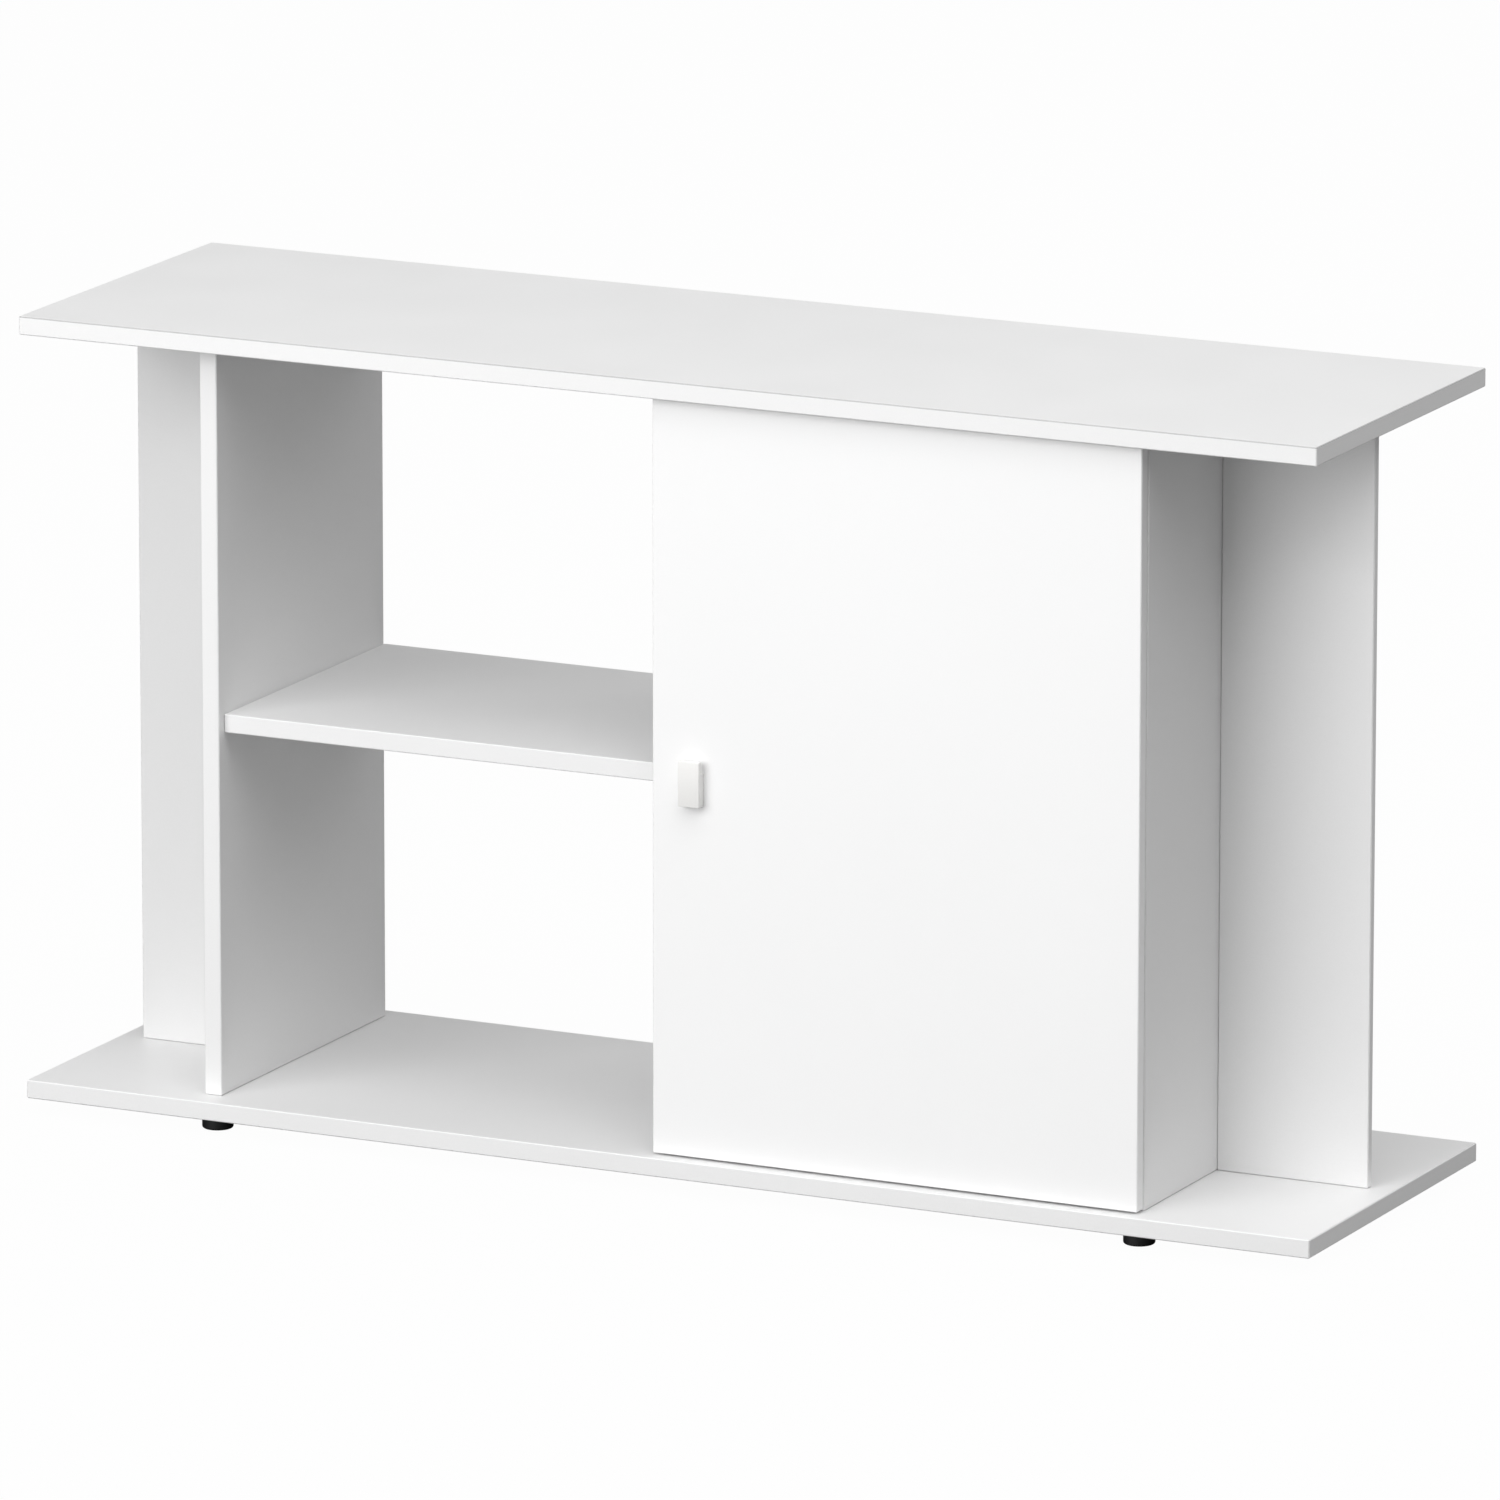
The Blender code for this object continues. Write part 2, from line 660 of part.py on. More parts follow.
def hinge_box_into(bm, low, high, height):
    """A box given by (x, y, z) corners in the hinge's own frame."""
    box_into(bm, hinge_point(low[:2], height + low[2]), hinge_point(high[:2], height + high[2]))


def add_arm(name, height):
    """The arm: two cheeks that hold the link pins, joined by a web over the plate's rib."""
    origin = hinge_point(OUTER_ARM_PIN, height)
    bm = bmesh.new()
    inner_x = ARM_PANEL_SIDE - ARM_DEPTH
    web_high = (inner_x + ARM_SHEET, ARM_BACK, ARM_HALF_HEIGHT)
    hinge_box_into(bm, (inner_x, WEB_FRONT, -ARM_HALF_HEIGHT), web_high, height)
    arm = add_object(name, bm, "zinc", origin)
    for side, label in ((1, "upper"), (-1, "lower")):
        cheek = bmesh.new()
        corners = [(inner_x, WEB_FRONT), (ARM_PANEL_SIDE, WEB_FRONT)]
        corners += [(inner_x, ARM_BACK), (ARM_PANEL_SIDE, ARM_BACK)]
        for x, y in (OUTER_ARM_PIN, INNER_ARM_PIN):
            for i in range(8):
                angle = math.pi * i / 4
                corners.append((x + ARM_NOSE * math.cos(angle), y + ARM_NOSE * math.sin(angle)))
        for corner in corners:
            for z in (ARM_HALF_HEIGHT, ARM_HALF_HEIGHT - ARM_SHEET):
                cheek.verts.new(hinge_point(corner, height + side * z))
        hull = bmesh.ops.convex_hull(cheek, input=cheek.verts)
        bmesh.ops.delete(cheek, geom=hull["geom_interior"], context="VERTS")
        combine(arm, cheek, "UNION", f"{label}_cheek")
    pins = bmesh.new()
    reach = ARM_HALF_HEIGHT - ARM_SHEET / 2
    for point, side in ((OUTER_ARM_PIN, 1), (INNER_ARM_PIN, -1)):
        stub_pin_into(pins, hinge_point(point, height), side, reach)
    combine(arm, pins, "UNION", "pins")
    drill(arm, [screw_hole(ARM_SCREW, arm_screw_head(height), (1, 0, 0))])


def arm_screw_head(height):
    y = (WEB_FRONT + ARM_BACK) / 2
    return hinge_point((ARM_PANEL_SIDE - ARM_DEPTH, y), height)


def add_hinge_plate(name, height):
    """The mounting plate: wings for its two screws, and a rib that the arm clips over."""
    bm = bmesh.new()
    face = -HINGE_OVERLAY - SEAT_GAP
    rib_x = face - PLATE_THICKNESS - RIB_HEIGHT
    half = PLATE_HEIGHT / 2
    wing_front = PANEL_FRONT + PLATE_SCREW_SETBACK - DOOR_BACK - PLATE_WING / 2
    wing_low = (face - PLATE_THICKNESS, wing_front, -half)
    hinge_box_into(bm, wing_low, (face, wing_front + PLATE_WING, half), height)
    plate = round_edges(add_object(name, bm, "zinc", hinge_point((face, wing_front), height)), 0.0005)
    rib = bmesh.new()
    rib_half = ARM_HALF_HEIGHT - ARM_SHEET - ARM_CLEARANCE
    rib_low = (rib_x, WEB_FRONT + ARM_CLEARANCE, -rib_half)
    hinge_box_into(rib, rib_low, (face, ARM_BACK - ARM_CLEARANCE, rib_half), height)
    combine(plate, rib, "UNION", "rib")
    holes = [screw_hole(PLATE_SCREW, head, (1, 0, 0)) for head in plate_screw_heads()]
    holes.append(screw_hole(ARM_SCREW, arm_screw_head(height), (1, 0, 0)))
    drill(plate, holes)


def add_hinges():
    for name, height in zip(("lower", "upper"), hinge_heights()):
        add_cup(f"{name}_hinge_cup", height)
        add_arm(f"{name}_hinge_arm", height)
        add_hinge_plate(f"{name}_hinge_plate", height)
        pins = (OUTER_ARM_PIN, OUTER_BEND, OUTER_CUP_PIN)
        add_link(f"{name}_outer_link", height, *pins, 1)
        pins = (INNER_ARM_PIN, INNER_BEND, INNER_CUP_PIN)
        add_link(f"{name}_inner_link", height, *pins, -1, OPEN_PIVOT_PLAY)
        add_screw(f"{name}_arm_screw", ARM_SCREW, arm_screw_head(height), (1, 0, 0))
    for number, head in enumerate(plate_screw_heads(), 1):
        add_screw(f"hinge_plate_screw_{number}", PLATE_SCREW, head, (1, 0, 0))
    for number, head in enumerate(cup_screw_heads(), 1):
        add_screw(f"hinge_cup_screw_{number}", CUP_SCREW, head, (0, -1, 0))


def attach_to_door():
    """The pieces fixed to the door turn with it."""
    door = bpy.data.objects["door"]
    names = ["door_knob", "knob_screw", "upper_door_buffer", "lower_door_buffer"]
    names += ["upper_hinge_cup", "lower_hinge_cup"]
    names += [f"hinge_cup_screw_{number}" for number in range(1, 5)]
    for name in names:
        piece = bpy.data.objects[name]
        piece.parent = door
        piece.location -= door.location


def main():
    clear_scene()
    add_top_and_base()
    add_uprights()
    add_fins()
    add_shelves()
    add_back()
    add_shelf_pins()
    add_cam_locks()
    add_base_screws()
    add_feet()
    add_door()
    add_knob()
    add_buffers()
    add_hinges()
    attach_to_door()


main()
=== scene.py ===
"""Looks for the aquarium stand cabinet: materials, smooth small pieces, floor, light and camera."""

import json
import math

import bmesh
import bpy
from mathutils import Matrix, Vector


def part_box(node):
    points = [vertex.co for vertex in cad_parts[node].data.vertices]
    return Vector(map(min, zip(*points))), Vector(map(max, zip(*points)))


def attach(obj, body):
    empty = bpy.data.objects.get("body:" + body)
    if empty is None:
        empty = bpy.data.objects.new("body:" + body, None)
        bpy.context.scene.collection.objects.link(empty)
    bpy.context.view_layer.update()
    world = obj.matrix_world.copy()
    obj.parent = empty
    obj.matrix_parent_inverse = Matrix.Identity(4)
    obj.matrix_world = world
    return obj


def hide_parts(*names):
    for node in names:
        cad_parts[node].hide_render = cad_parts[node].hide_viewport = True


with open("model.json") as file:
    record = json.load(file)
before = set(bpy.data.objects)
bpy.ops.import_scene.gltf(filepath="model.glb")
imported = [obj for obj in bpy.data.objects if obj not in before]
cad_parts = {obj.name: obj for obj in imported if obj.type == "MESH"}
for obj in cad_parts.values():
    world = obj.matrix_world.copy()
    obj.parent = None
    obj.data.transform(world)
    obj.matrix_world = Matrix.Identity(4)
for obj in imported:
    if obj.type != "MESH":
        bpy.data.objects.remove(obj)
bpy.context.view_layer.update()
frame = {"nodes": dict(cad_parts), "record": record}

BODIES = frame["record"]["behaviour"]["bodies"]
BODY_OF = {node: body for body, nodes in BODIES.items() for node in nodes}

# Camera: where it stands, which way it looks in degrees, and its lens in millimetres
CAMERA_PLACE = (5.50813, -11.38932, 3.34857)
CAMERA_AZIMUTH = 25.7952
CAMERA_ELEVATION = 13.3535
CAMERA_ROLL = 0.0377
CAMERA_LENS = 369.139
SENSOR = 36.0

# Boards, and the axis through each one's thickness
BOARD_AXES = {
    "top_board": 2,
    "base_board": 2,
    "open_shelf": 2,
    "inner_shelf": 2,
    "left_side_panel": 0,
    "middle_partition": 0,
    "right_side_panel": 0,
    "left_fin": 1,
    "right_fin": 1,
    "back_board": 1,
    "door": 1,
}
# How white each board's faces are, where that differs from the rest. This is painted light and shade on
# one and the same melamine: lighter on the door, darker on the fins, with small shifts on the top and
# base boards
PAINTED_LIGHT_FACE_WHITE = {
    "door": 0.95,
    "left_fin": 0.78,
    "right_fin": 0.83,
    "base_board": 0.84,
    "top_board": 0.82,
}
BOARD_WHITE = 0.83
# The edge band: how white it is, how far in from a face it starts and how fast it takes over
BAND_WHITE = 0.88
BAND_START = 0.0003
BAND_FADE = 0.0002
BAND_SHINE = 0.06
# A thin darker line runs along the top board's edges, just under its upper face
DARK_LINE_BOARDS = ("top_board",)
DARK_LINE_START = 0.00003
DARK_LINE_END = 0.0010
DARK_LINE_FADE = 0.0002
DARK_LINE_DROP = 0.38

# Feet
PAD_HEIGHT = 0.0137
PAD_ROUNDING = 0.0020
STUD_RADIUS = 0.0040

# Knob: the grip plate's thickness, how far the plate stands above the stem, and the edges' rounding
KNOB_PLATE = 0.0050
KNOB_LIP = 0.0110
KNOB_ROUNDING = 0.0005

# Threads: the distance from crest to crest on screws and on the feet's studs
SCREW_PITCH = 0.0011
STUD_PITCH = 0.00125
STUD_THREAD = 0.0005
CAM_SLOT_DEPTH = 0.0022
HINGE_ARM_ROUNDING = 0.0003

# Floor: its own grey for the light it gives back, and how much it glows for the camera
FLOOR_HALF = 30.0
FLOOR_GREY = 0.22
FLOOR_GLOW = 1.03
FLOOR_GLOW_SHARE = 0.95

# Softboxes: name, azimuth and elevation in degrees, and power in watts
SOFTBOXES = (
    ("front_softbox", -20, 18, 164),
    ("high_softbox", 25, 55, 78),
    ("side_softbox", 60, 60, 38),
    ("back_softbox", 140, 45, 44),
    ("top_softbox", 0, 85, 22),
)
SOFTBOX_DISTANCE = 5.0
SOFTBOX_SIZE = 4.0
WORLD_STRENGTH = 0.38


# Material graphs


class Graph:
    """A material's node tree, with short calls for what the finishes share."""

    def __init__(self, name):
        self.material = bpy.data.materials.new(name)
        self.material.use_nodes = True
        self.tree = self.material.node_tree
        self.shader = self.tree.nodes["Principled BSDF"]
        self.place = self.tree.nodes.new("ShaderNodeTexCoord").outputs["Object"]

    def plug(self, socket, value):
        if isinstance(value, bpy.types.NodeSocket):
            self.tree.links.new(value, socket)
        else:
            socket.default_value = value

    def math(self, operation, *values):
        node = self.tree.nodes.new("ShaderNodeMath")
        node.operation = operation
        for socket, value in zip(node.inputs, values):
            self.plug(socket, value)
        return node.outputs[0]

    def remap(self, value, start, end, low, high, smooth=False):
        node = self.tree.nodes.new("ShaderNodeMapRange")
        node.interpolation_type = "SMOOTHSTEP" if smooth else "LINEAR"
        names = ("Value", "From Min", "From Max", "To Min", "To Max")
        for name, given in zip(names, (value, start, end, low, high)):
            self.plug(node.inputs[name], given)
        return node.outputs[0]

    def axis(self, index):
        node = self.tree.nodes.new("ShaderNodeSeparateXYZ")
        self.plug(node.inputs[0], self.place)
        return node.outputs[index]

    def stretched(self, scale):
        node = self.tree.nodes.new("ShaderNodeMapping")
        self.plug(node.inputs["Vector"], self.place)
        node.inputs["Scale"].default_value = scale
        return node.outputs[0]

    def noise(self, scale, detail=2.0, place=None):
        node = self.tree.nodes.new("ShaderNodeTexNoise")
        self.plug(node.inputs["Vector"], place or self.place)
        node.inputs["Scale"].default_value = scale
        node.inputs["Detail"].default_value = detail
        return node.outputs[0]

    def tint(self, amount, colour):
        """The colour multiplied by a grey amount."""
        node = self.tree.nodes.new("ShaderNodeVectorMath")
        node.operation = "SCALE"
        node.inputs[0].default_value = colour
        self.plug(node.inputs["Scale"], amount)
        return node.outputs[0]

    def bump(self, height, distance, strength=1.0):
        node = self.tree.nodes.new("ShaderNodeBump")
        self.plug(node.inputs["Height"], height)
        node.inputs["Distance"].default_value = distance
        node.inputs["Strength"].default_value = strength
        self.plug(self.shader.inputs["Normal"], node.outputs[0])


def melamine(node, thin):
    """Satin melamine with a fine pearl texture, an edge band and, on some boards, a thin darker line just
    under the upper face.
    """
    graph = Graph(f"{node}_melamine")
    low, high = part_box(node)
    across = graph.axis(thin)
    from_low = graph.math("SUBTRACT", across, low[thin])
    from_high = graph.math("SUBTRACT", high[thin], across)
    from_face = graph.math("MINIMUM", from_low, from_high)
    band = graph.remap(from_face, BAND_START, BAND_START + BAND_FADE, 0.0, 1.0, True)
    # Face white, with painted light and shade on the boards that have their own white
    white = graph.remap(band, 0.0, 1.0, PAINTED_LIGHT_FACE_WHITE.get(node, BOARD_WHITE), BAND_WHITE)
    cloud = graph.remap(graph.noise(2.3, 3.0), 0.3, 0.7, 0.992, 1.006)
    pearl = graph.remap(graph.noise(900.0, 2.0), 0.3, 0.7, 0.992, 1.008)
    white = graph.math("MULTIPLY", white, graph.math("MULTIPLY", cloud, pearl))
    # A thin darker line along the edges, just under the upper face
    if node in DARK_LINE_BOARDS:
        past_face = graph.remap(from_high, DARK_LINE_START, DARK_LINE_START + DARK_LINE_FADE, 0.0, 1.0, True)
        before_end = graph.remap(from_high, DARK_LINE_END, DARK_LINE_END + DARK_LINE_FADE, 1.0, 0.0, True)
        dark_line = graph.math("MULTIPLY", past_face, before_end)
        white = graph.math("SUBTRACT", white, graph.math("MULTIPLY", dark_line, DARK_LINE_DROP))
    graph.plug(graph.shader.inputs["Base Color"], graph.tint(white, (1.0, 1.0, 1.0)))
    smudge = graph.remap(graph.noise(14.0, 4.0), 0.3, 0.7, 0.40, 0.50)
    rough = graph.math("SUBTRACT", smudge, graph.math("MULTIPLY", band, BAND_SHINE))
    graph.plug(graph.shader.inputs["Roughness"], rough)
    graph.shader.inputs["Specular IOR Level"].default_value = 0.4
    graph.bump(graph.noise(1300.0, 2.0), 0.00003, 0.5)
    return graph.material


def moulded(name, colour, rough, grain, depth, uneven_shade=0.05):
    """Moulded plastic: a fine spark-eroded grain, with the shine slightly uneven."""
    graph = Graph(name)
    cloud = graph.noise(grain * 0.3, 3.0)
    shade = graph.remap(cloud, 0.3, 0.7, 1.0 - uneven_shade, 1.0 + uneven_shade)
    graph.plug(graph.shader.inputs["Base Color"], graph.tint(shade, colour))
    uneven = graph.remap(graph.noise(60.0, 3.0), 0.3, 0.7, rough - 0.05, rough + 0.05)
    graph.plug(graph.shader.inputs["Roughness"], uneven)
    graph.bump(graph.noise(grain, 2.0), depth, 0.6)
    return graph.material


def metal(name, colour, rough, stretch, depth):
    """Plated or drawn metal: fine lines along one way, and a faint cloudiness in colour and shine."""
    graph = Graph(name)
    lines = graph.noise(1.0, 3.0, graph.stretched(stretch))
    cloud = graph.remap(graph.noise(90.0, 4.0), 0.3, 0.7, 0.90, 1.06)
    graph.plug(graph.shader.inputs["Base Color"], graph.tint(cloud, colour))
    graph.shader.inputs["Metallic"].default_value = 1.0
    graph.plug(graph.shader.inputs["Roughness"], graph.remap(lines, 0.3, 0.7, rough - 0.07, rough + 0.10))
    graph.bump(lines, depth, 0.5)
    return graph.material


def soft_rubber():
    graph = Graph("buffer_rubber")
    shade = graph.remap(graph.noise(400.0, 3.0), 0.3, 0.7, 0.95, 1.04)
    graph.plug(graph.shader.inputs["Base Color"], graph.tint(shade, (0.75, 0.75, 0.72)))
    graph.plug(graph.shader.inputs["Roughness"], graph.remap(graph.noise(300.0), 0.3, 0.7, 0.30, 0.42))
    graph.shader.inputs["Transmission Weight"].default_value = 0.35
    graph.bump(graph.noise(1800.0), 0.00002, 0.5)
    return graph.material


FINISHES = {
    "white_knob": moulded("knob_plastic", (0.865, 0.86, 0.845), 0.36, 2200.0, 0.00001, 0.01),
    "black_plastic": moulded("foot_plastic", (0.016, 0.016, 0.017), 0.42, 2600.0, 0.00004),
    "zinc": metal("zinc_plate", (0.62, 0.63, 0.65), 0.30, (500.0, 500.0, 90.0), 0.00002),
    "steel": metal("drawn_steel", (0.55, 0.56, 0.58), 0.27, (900.0, 120.0, 900.0), 0.00002),
    "clear_rubber": soft_rubber(),
}
SLOT_OF = {row["node"]: row["material_slot"] for row in frame["record"]["subparts"]}


# Pieces


def add_piece(name, mesh, *nodes):
    """A shown piece that stands for CAD nodes, rides on their body and takes their finish."""
    obj = bpy.data.objects.new(name, mesh)
    bpy.context.scene.collection.objects.link(obj)
    finish = SLOT_OF[nodes[0]]
    mesh.materials.clear()
    mesh.materials.append(FINISHES[finish])
    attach(obj, BODY_OF[nodes[0]])
    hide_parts(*nodes)
    return obj


def mesh_from(bm, name, sharp=35.0):
    bmesh.ops.recalc_face_normals(bm, faces=bm.faces)
    mesh = bpy.data.meshes.new(name)
    bm.to_mesh(mesh)
    bm.free()
    mesh.shade_smooth()
    mesh.set_sharp_from_angle(angle=math.radians(sharp))
    return mesh


def smooth_piece(node, bevel=0.0):
    """The CAD shape as a smooth-shaded piece, with its sharp edges broken when a bevel width is given."""
    bm = bmesh.new()
    bm.from_mesh(frame["nodes"][node].data)
    bmesh.ops.remove_doubles(bm, verts=bm.verts, dist=1e-6)
    bmesh.ops.dissolve_limit(bm, angle_limit=math.radians(1.0), verts=bm.verts, edges=bm.edges)
    obj = add_piece(f"{node}_piece", mesh_from(bm, f"{node}_piece"), node)
    if bevel:
        rounding = obj.modifiers.new("rounding", "BEVEL")
        rounding.width = bevel
        rounding.segments = 2
        rounding.limit_method = "ANGLE"
        rounding.angle_limit = math.radians(40.0)
        rounding.harden_normals = True
    return obj


def aim(start, direction):
    turn = Vector((0, 0, 1)).rotation_difference(Vector(direction)).to_matrix().to_4x4()
    return Matrix.Translation(start) @ turn


def lathe_into(bm, profile, matrix, segments, height_at=None):
    """Turns (radius, height) points about Z. height_at(x, y) may lower the points of a face."""
    rings = []
    for radius, height in profile:
        ring = []
        for i in range(segments if radius else 1):
            angle = 2 * math.pi * i / segments
            x, y = radius * math.cos(angle), radius * math.sin(angle)
            down = height_at(x, y, height) if height_at else 0.0
            ring.append(bm.verts.new(matrix @ Vector((x, y, height + down))))
        rings.append(ring)
    for first, second in zip(rings, rings[1:]):
        for i in range(segments):
            j = (i + 1) % segments
            corners = [first[i % len(first)], first[j % len(first)]]
            corners += [second[j % len(second)], second[i % len(second)]]
            bm.faces.new(list(dict.fromkeys(corners)))


def arc(centre, radius, start, end, steps):
    """Points on an arc in a profile, angles in degrees from the outward direction."""
    angles = [math.radians(start + (end - start) * i / steps) for i in range(steps + 1)]
    return [(centre[0] + radius * math.cos(a), centre[1] + radius * math.sin(a)) for a in angles]


def ridges(radius, start, end, pitch, depth):
    """A profile with a rolled thread's crests and roots along a shank."""
    turns = max(1, int((end - start) / pitch))
    points = []
    for i in range(turns):
        at = start + i * (end - start) / turns
        step = (end - start) / turns
        points += [(radius - depth, at + step * 0.25), (radius, at + step * 0.5)]
        points += [(radius - depth, at + step * 0.9)]
    return points


def cross_recess(head, depth):
    """How far a cross slot lowers a head's face at each point."""
    half, reach = head * 0.17, head * 0.62

    def lowered(x, y, height):
        if height > 1e-9:
            return 0.0
        inside = max(min(half - abs(x), reach - abs(y)), min(half - abs(y), reach - abs(x)))
        return depth * max(0.0, min(1.0, 0.5 + inside / (head * 0.10)))

    return lowered


def head_point(node, into):
    """The middle of a fastener's outer face, its length and its head's radius, from its CAD box."""
    low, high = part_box(node)
    axis = max(range(3), key=lambda i: abs(into[i]))
    point = (low + high) / 2
    point[axis] = low[axis] if into[axis] > 0 else high[axis]
    across = [high[i] - low[i] for i in range(3) if i != axis]
    return point, high[axis] - low[axis], min(across) / 2


def add_screw(node, into, shank_share):
    point, length, head = head_point(node, into)
    shank = head * shank_share
    seat = head * 0.62
    face = [(head * i / 14, 0.0) for i in range(15)]
    profile = [*face, (head, head * 0.07), (shank, seat)]
    profile += ridges(shank, seat + 0.0006, length - 1.5 * shank, SCREW_PITCH, shank * 0.22)
    profile += [(shank * 0.6, length - shank), (0.0, length)]
    bm = bmesh.new()
    lathe_into(bm, profile, aim(point, into), 48, cross_recess(head, head * 0.30))
    add_piece(f"{node}_piece", mesh_from(bm, f"{node}_piece", 30.0), node)


def add_cam(node, into):
    """A cam lock: a chamfered drum with a cross slot in its face and a waist for the bolt's head."""
    point, depth, radius = head_point(node, into)
    face = [(radius * 0.93 * i / 18, 0.0) for i in range(19)]
    profile = [*face, (radius, radius * 0.07), (radius, depth * 0.30)]
    profile += [(radius * 0.90, depth * 0.36), (radius * 0.90, depth * 0.70), (radius, depth * 0.76)]
    profile += [(radius, depth - 0.0004), (radius * 0.95, depth), (0.0, depth)]
    bm = bmesh.new()
    lathe_into(bm, profile, aim(point, into), 72, cross_recess(radius, CAM_SLOT_DEPTH))
    add_piece(f"{node}_piece", mesh_from(bm, f"{node}_piece", 30.0), node)


def add_foot(node):
    """A moulded pad with rounded edges and a shallow groove, on its threaded stud."""
    low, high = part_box(node)
    radius = (high.x - low.x) / 2
    flat = radius - PAD_ROUNDING
    profile = [(0.0, 0.0004), (flat * 0.80, 0.0004), (flat * 0.84, 0.0)]
    profile += arc((flat, PAD_ROUNDING), PAD_ROUNDING, -90, 0, 8)
    profile += [(radius, PAD_HEIGHT * 0.60), (radius - 0.0004, PAD_HEIGHT * 0.63)]
    profile += [(radius - 0.0004, PAD_HEIGHT * 0.67), (radius, PAD_HEIGHT * 0.70)]
    profile += arc((radius - 0.0006, PAD_HEIGHT - 0.0006), 0.0006, 0, 90, 4)
    profile += [(STUD_RADIUS, PAD_HEIGHT)]
    profile += ridges(STUD_RADIUS, PAD_HEIGHT, high.z - 0.0008, STUD_PITCH, STUD_THREAD)
    profile += [(STUD_RADIUS - 0.0008, high.z), (0.0, high.z)]
    bm = bmesh.new()
    middle = Vector(((low.x + high.x) / 2, (low.y + high.y) / 2, low.z))
    lathe_into(bm, profile, Matrix.Translation(middle), 96)
    add_piece(f"{node}_piece", mesh_from(bm, f"{node}_piece", 40.0), node)


def add_knob():
    """The knob as one moulding: a tall grip plate on a shorter stem, all edges rounded."""
    low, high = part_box("door_knob")
    stem_top = high.z - KNOB_LIP
    plate_back = low.y + KNOB_PLATE
    outline = [(low.y, low.z), (high.y, low.z), (high.y, stem_top), (plate_back, stem_top)]
    outline += [(plate_back, high.z), (low.y, high.z)]
    bm = bmesh.new()
    left = [bm.verts.new((low.x, y, z)) for y, z in outline]
    right = [bm.verts.new((high.x, y, z)) for y, z in outline]
    bm.faces.new(left)
    bm.faces.new(right[::-1])
    for i in range(len(outline)):
        j = (i + 1) % len(outline)
        bm.faces.new([left[i], right[i], right[j], left[j]])
    bmesh.ops.bevel(bm, geom=bm.edges[:], offset=KNOB_ROUNDING, segments=4, profile=0.5, affect="EDGES")
    add_piece("door_knob_piece", mesh_from(bm, "door_knob_piece", 60.0), "door_knob")


def add_buffer(node):
    """A small clear dome on the door's back."""
    point, height, radius = head_point(node, (0, 1, 0))
    bm = bmesh.new()
    profile = [(0.0, 0.0), (radius, 0.0)]
    angles = [math.pi / 2 * i / 10 for i in range(1, 10)]
    profile += [(radius * math.cos(a), height * math.sin(a)) for a in angles]
    profile += [(0.0, height)]
    lathe_into(bm, profile, aim(point, (0, 1, 0)), 40)
    add_piece(f"{node}_piece", mesh_from(bm, f"{node}_piece", 60.0), node)


def dress_boards():
    for node, thin in BOARD_AXES.items():
        obj = frame["nodes"][node]
        for slot in obj.material_slots:
            slot.material = melamine(node, thin)


def add_small_pieces():
    for i in range(1, 5):
        add_foot(f"foot_{i}")
        smooth_piece(f"foot_socket_{i}")
        smooth_piece(f"shelf_pin_{i}")
        add_screw(f"hinge_plate_screw_{i}", (1, 0, 0), 0.5)
        add_screw(f"hinge_cup_screw_{i}", (0, -1, 0), 0.5)
    for i in range(1, 7):
        add_screw(f"base_screw_{i}", (0, 0, 1), 0.5)
    cams = {1: 1, 2: 1, 3: -1, 4: -1, 5: 1, 6: 1}
    for i, into in cams.items():
        add_cam(f"cam_lock_{i}", (into, 0, 0))
    add_knob()
    add_screw("knob_screw", (0, -1, 0), 0.5)
    for side in ("upper", "lower"):
        add_buffer(f"{side}_door_buffer")
        add_screw(f"{side}_arm_screw", (1, 0, 0), 0.5)
        smooth_piece(f"{side}_hinge_cup")
        smooth_piece(f"{side}_hinge_arm", HINGE_ARM_ROUNDING)
        smooth_piece(f"{side}_hinge_plate")
        smooth_piece(f"{side}_outer_link")
        smooth_piece(f"{side}_inner_link")


# Floor, light and camera


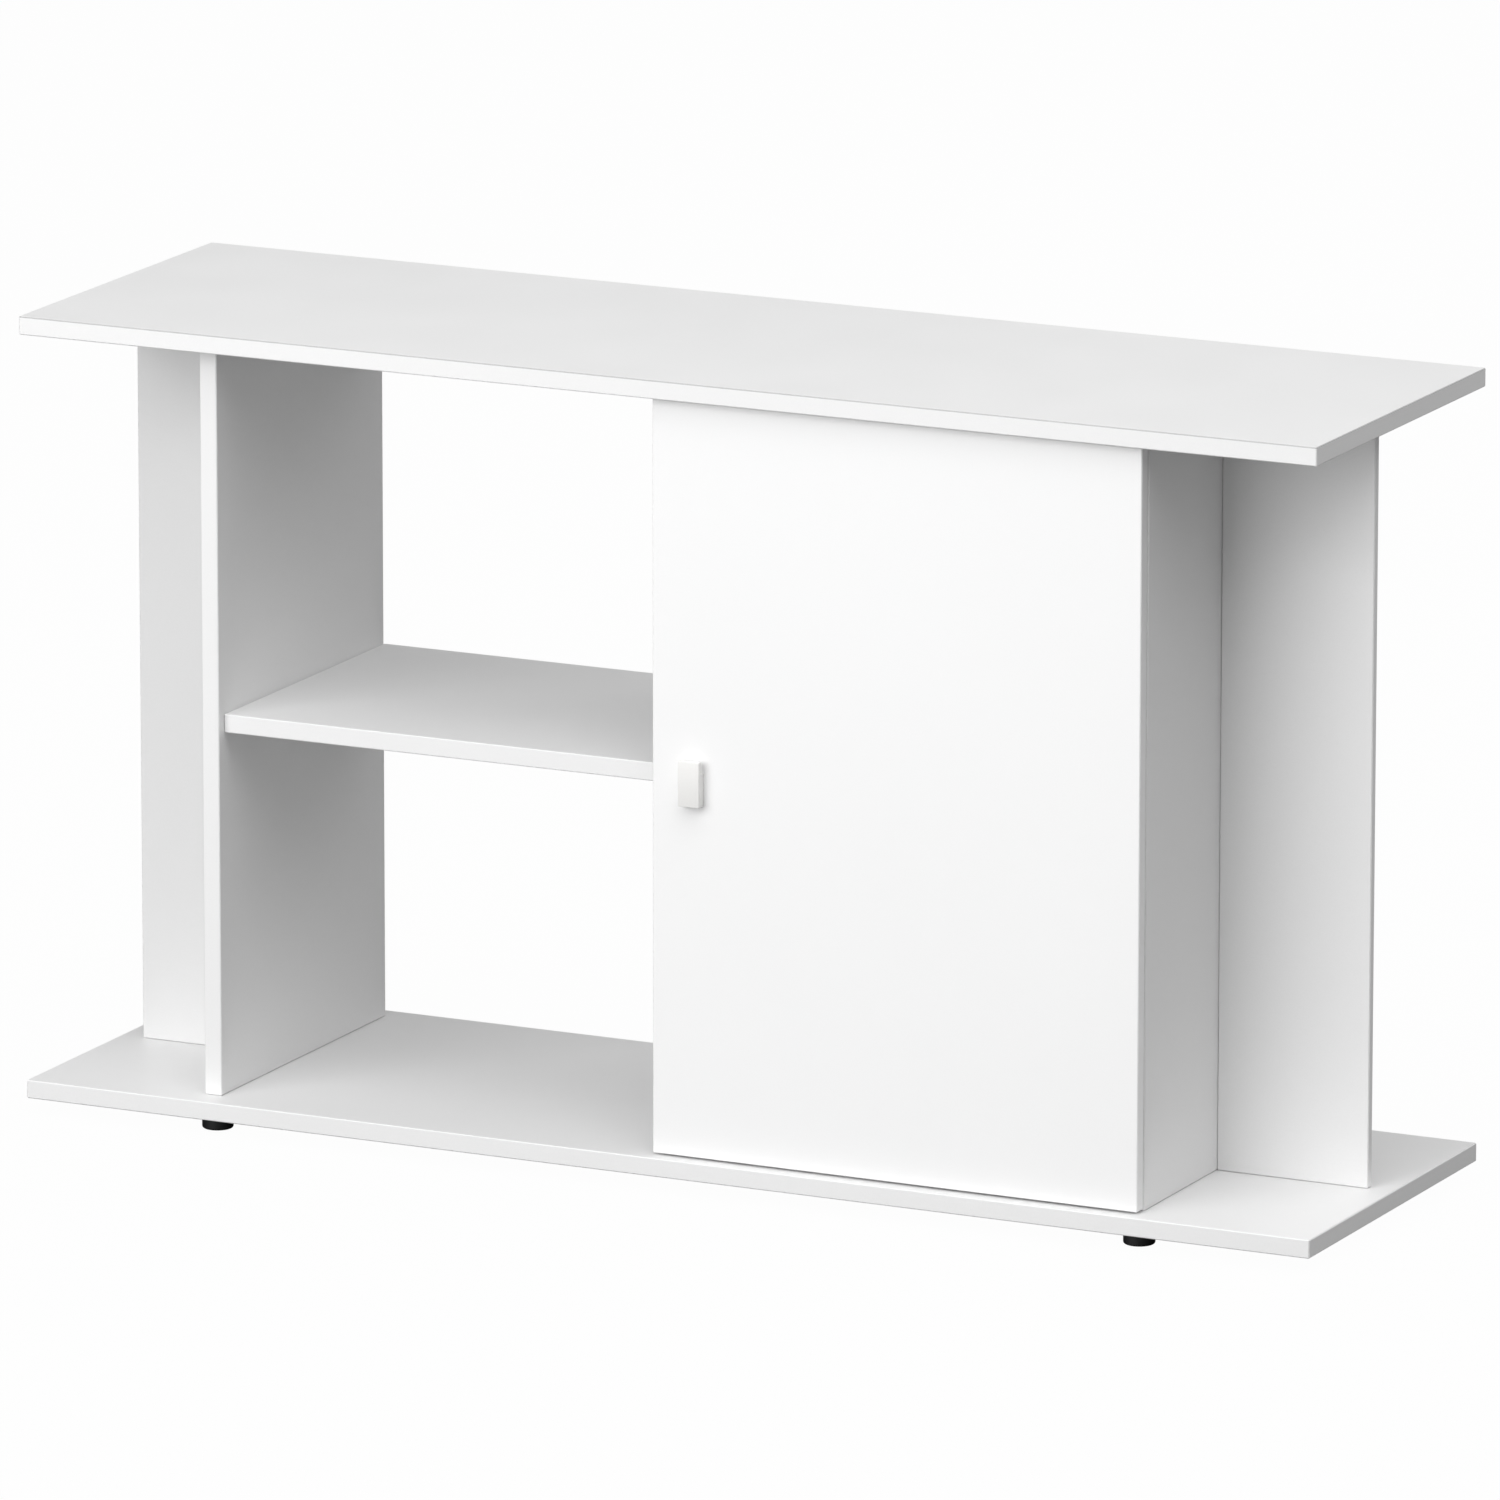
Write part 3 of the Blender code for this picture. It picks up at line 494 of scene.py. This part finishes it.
def add_floor():
    mesh = bpy.data.meshes.new("floor")
    bm = bmesh.new()
    bmesh.ops.create_grid(bm, x_segments=8, y_segments=8, size=FLOOR_HALF)
    bm.to_mesh(mesh)
    bm.free()
    floor = bpy.data.objects.new("floor", mesh)
    bpy.context.scene.collection.objects.link(floor)
    material = bpy.data.materials.new("pale_floor")
    material.use_nodes = True
    tree = material.node_tree
    shader = tree.nodes["Principled BSDF"]
    shader.inputs["Base Color"].default_value = (FLOOR_GREY, FLOOR_GREY, FLOOR_GREY, 1.0)
    shader.inputs["Roughness"].default_value = 0.9
    shader.inputs["Specular IOR Level"].default_value = 0.0
    glow = tree.nodes.new("ShaderNodeEmission")
    glow.inputs["Color"].default_value = (1.0, 1.0, 1.0, 1.0)
    glow.inputs["Strength"].default_value = FLOOR_GLOW
    seen = tree.nodes.new("ShaderNodeLightPath")
    share = tree.nodes.new("ShaderNodeMath")
    share.operation = "MULTIPLY"
    share.inputs[1].default_value = FLOOR_GLOW_SHARE
    tree.links.new(seen.outputs["Is Camera Ray"], share.inputs[0])
    mix = tree.nodes.new("ShaderNodeMixShader")
    tree.links.new(share.outputs[0], mix.inputs[0])
    tree.links.new(shader.outputs[0], mix.inputs[1])
    tree.links.new(glow.outputs[0], mix.inputs[2])
    tree.links.new(mix.outputs[0], tree.nodes["Material Output"].inputs["Surface"])
    mesh.materials.append(material)


def add_light(name, azimuth, elevation, power):
    """A square softbox that faces the cabinet. Azimuth 0 is straight in front, positive towards +X."""
    a, e = math.radians(azimuth), math.radians(elevation)
    back = Vector((math.sin(a) * math.cos(e), -math.cos(a) * math.cos(e), math.sin(e)))
    data = bpy.data.lights.new(name, "AREA")
    data.size = SOFTBOX_SIZE
    data.energy = power
    obj = bpy.data.objects.new(name, data)
    obj.location = Vector((0, 0, 0.35)) + back * SOFTBOX_DISTANCE
    obj.rotation_euler = (-back).to_track_quat("-Z", "Y").to_euler()
    bpy.context.scene.collection.objects.link(obj)


def add_world():
    world = bpy.data.worlds.new("studio")
    world.use_nodes = True
    world.node_tree.nodes["Background"].inputs["Color"].default_value = (1.0, 1.0, 1.0, 1.0)
    world.node_tree.nodes["Background"].inputs["Strength"].default_value = WORLD_STRENGTH
    bpy.context.scene.world = world


def add_camera():
    a, e = math.radians(CAMERA_AZIMUTH), math.radians(CAMERA_ELEVATION)
    back = Vector((math.sin(a) * math.cos(e), -math.cos(a) * math.cos(e), math.sin(e)))
    right = Vector((math.cos(a), math.sin(a), 0))
    up = back.cross(right)
    turn = Matrix((right, up, back)).transposed().to_4x4()
    data = bpy.data.cameras.new("camera")
    data.lens = CAMERA_LENS
    data.sensor_width = SENSOR
    data.clip_start = 0.1
    data.clip_end = 200.0
    camera = bpy.data.objects.new("camera", data)
    roll = Matrix.Rotation(math.radians(CAMERA_ROLL), 4, "Z")
    camera.matrix_world = Matrix.Translation(CAMERA_PLACE) @ turn @ roll
    bpy.context.scene.collection.objects.link(camera)
    bpy.context.scene.camera = camera


add_camera()
add_world()
for softbox in SOFTBOXES:
    add_light(*softbox)
add_floor()
dress_boards()
add_small_pieces()
bpy.context.scene.view_settings.view_transform = "Standard"
